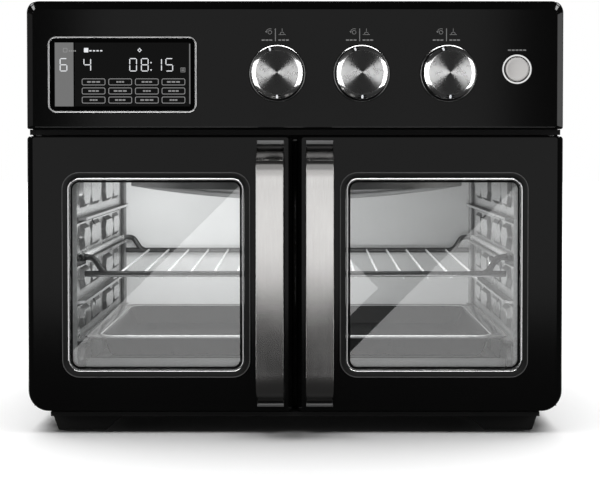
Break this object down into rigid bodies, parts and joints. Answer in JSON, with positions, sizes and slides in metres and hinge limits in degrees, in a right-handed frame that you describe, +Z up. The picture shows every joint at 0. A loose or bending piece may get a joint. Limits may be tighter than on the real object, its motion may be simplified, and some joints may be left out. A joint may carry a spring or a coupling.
{
  "type": "toaster oven",
  "caption": "Countertop toaster oven with French doors, glazed windows, strap handles, rotary knobs, display, rack and pan.",
  "frame": {"origin": "ground plane under the middle of the whole object's bounding box", "axes": "+X to the right as seen by the user in front, +Y to the rear (doors face -Y), +Z up"},
  "size_m": [0.44, 0.424, 0.3554],
  "materials": {
    "housing_black": "satin powder coat",
    "frame_black": "satin",
    "fascia_black": "fine satin powder coat",
    "door_black": "satin, gloss edges",
    "door_liner_steel": "plain",
    "bezel_silver": "satin",
    "display_black": "gloss",
    "circuit_board": "solder mask",
    "ring_chrome": "polished",
    "knob_metal": "turned",
    "encoder_black": "plain",
    "button_silver": "satin",
    "window_chrome": "polished",
    "clear_glass": "clear",
    "handle_steel": "brushed lengthwise",
    "hinge_steel": "ground",
    "cavity_steel": "bright",
    "guard_dark": "dark heat-proof coat",
    "heater_sheath": "oxidised",
    "fan_aluminium": "plain",
    "motor_steel": "plain",
    "lamp_glass": "frosted",
    "socket_steel": "satin",
    "rack_chrome": "polished",
    "pan_enamel": "dark enamel",
    "tray_aluminium": "plain",
    "foot_black": "matt",
    "inlet_black": "matt"
  },
  "bodies": {
    "chassis": {"outer_wrap": "housing_black", "rear_cover": "housing_black", "base_pan": "frame_black", "front_frame": "frame_black", "control_fascia": "fascia_black", "display_bezel": "bezel_silver", "display_lens": "display_black", "control_board": "circuit_board", "knob_ring_left": "ring_chrome", "knob_ring_centre": "ring_chrome", "knob_ring_right": "ring_chrome", "encoder_left": "encoder_black", "encoder_centre": "encoder_black", "encoder_right": "encoder_black", "button_ring": "ring_chrome", "button_switch": "encoder_black", "cavity_left_wall": "cavity_steel", "cavity_right_wall": "cavity_steel", "cavity_back_wall": "cavity_steel", "cavity_ceiling": "cavity_steel", "cavity_floor": "cavity_steel", "top_heater": "heater_sheath", "fan_guard": "guard_dark", "fan_motor": "motor_steel", "lower_heater_front": "heater_sheath", "lower_heater_rear": "heater_sheath", "oven_lamp": "lamp_glass", "rotisserie_motor": "motor_steel", "power_board": "circuit_board", "cord_inlet": "inlet_black", "foot_front_left": "foot_black", "foot_front_right": "foot_black", "foot_rear_left": "foot_black", "foot_rear_right": "foot_black", "left_hinge_pin": "hinge_steel", "right_hinge_pin": "hinge_steel"},
    "left_door": {"left_door_panel": "door_black", "left_door_liner": "door_liner_steel", "left_window_trim": "window_chrome", "left_outer_glass": "clear_glass", "left_inner_glass": "clear_glass", "left_handle": "handle_steel"},
    "right_door": {"right_door_panel": "door_black", "right_door_liner": "door_liner_steel", "right_window_trim": "window_chrome", "right_outer_glass": "clear_glass", "right_inner_glass": "clear_glass", "right_handle": "handle_steel"},
    "left_knob_carrier": {"encoder_plunger_left": "encoder_black"},
    "left_knob": {"knob_left": "knob_metal"},
    "centre_knob_carrier": {"encoder_plunger_centre": "encoder_black"},
    "centre_knob": {"knob_centre": "knob_metal"},
    "right_knob_carrier": {"encoder_plunger_right": "encoder_black"},
    "right_knob": {"knob_right": "knob_metal"},
    "start_button": {"start_button": "button_silver"},
    "wire_rack": {"wire_rack": "rack_chrome"},
    "baking_pan": {"baking_pan": "pan_enamel"},
    "crumb_tray": {"crumb_tray": "tray_aluminium"},
    "fan": {"fan_blade": "fan_aluminium"},
    "rotisserie_socket": {"rotisserie_socket": "socket_steel"}
  },
  "joints": [
    {"name": "left_door_hinge", "type": "hinge", "parent": "chassis", "child": "left_door", "pos_m": [-0.212, -0.159, 0.0177], "axis": [0, 0, -1], "range_deg": [0, 110]},
    {"name": "right_door_hinge", "type": "hinge", "parent": "chassis", "child": "right_door", "pos_m": [0.212, -0.159, 0.0177], "axis": [0, 0, 1], "range_deg": [0, 110]},
    {"name": "left_knob_press", "type": "slide", "parent": "chassis", "child": "left_knob_carrier", "axis": [0, 1, 0], "range_m": [0, 0.0015], "stiffness_N_per_m": 900, "springref_m": -0.001},
    {"name": "left_knob_turn", "type": "hinge", "parent": "left_knob_carrier", "child": "left_knob", "pos_m": [-0.0144, -0.176, 0.2953], "axis": [0, 1, 0], "continuous": true},
    {"name": "centre_knob_press", "type": "slide", "parent": "chassis", "child": "centre_knob_carrier", "axis": [0, 1, 0], "range_m": [0, 0.0015], "stiffness_N_per_m": 900, "springref_m": -0.001},
    {"name": "centre_knob_turn", "type": "hinge", "parent": "centre_knob_carrier", "child": "centre_knob", "pos_m": [0.0543, -0.176, 0.2953], "axis": [0, 1, 0], "continuous": true},
    {"name": "right_knob_press", "type": "slide", "parent": "chassis", "child": "right_knob_carrier", "axis": [0, 1, 0], "range_m": [0, 0.0015], "stiffness_N_per_m": 900, "springref_m": -0.001},
    {"name": "right_knob_turn", "type": "hinge", "parent": "right_knob_carrier", "child": "right_knob", "pos_m": [0.1251, -0.176, 0.2953], "axis": [0, 1, 0], "continuous": true},
    {"name": "start_button_press", "type": "slide", "parent": "chassis", "child": "start_button", "axis": [0, 1, 0], "range_m": [0, 0.0015], "stiffness_N_per_m": 600, "springref_m": -0.001},
    {"name": "wire_rack_slide", "type": "slide", "parent": "chassis", "child": "wire_rack", "axis": [0, -1, 0], "range_m": [0, 0.011]},
    {"name": "baking_pan_slide", "type": "slide", "parent": "chassis", "child": "baking_pan", "axis": [0, -1, 0], "range_m": [0, 0.02]},
    {"name": "crumb_tray_slide", "type": "slide", "parent": "chassis", "child": "crumb_tray", "axis": [0, -1, 0], "range_m": [0, 0.007]},
    {"name": "fan_spin", "type": "hinge", "parent": "chassis", "child": "fan", "pos_m": [0, 0.01, 0.224], "axis": [0, 0, 1], "continuous": true},
    {"name": "rotisserie_spin", "type": "hinge", "parent": "chassis", "child": "rotisserie_socket", "pos_m": [0.1851, 0, 0.125], "axis": [1, 0, 0], "continuous": true}
  ]
}
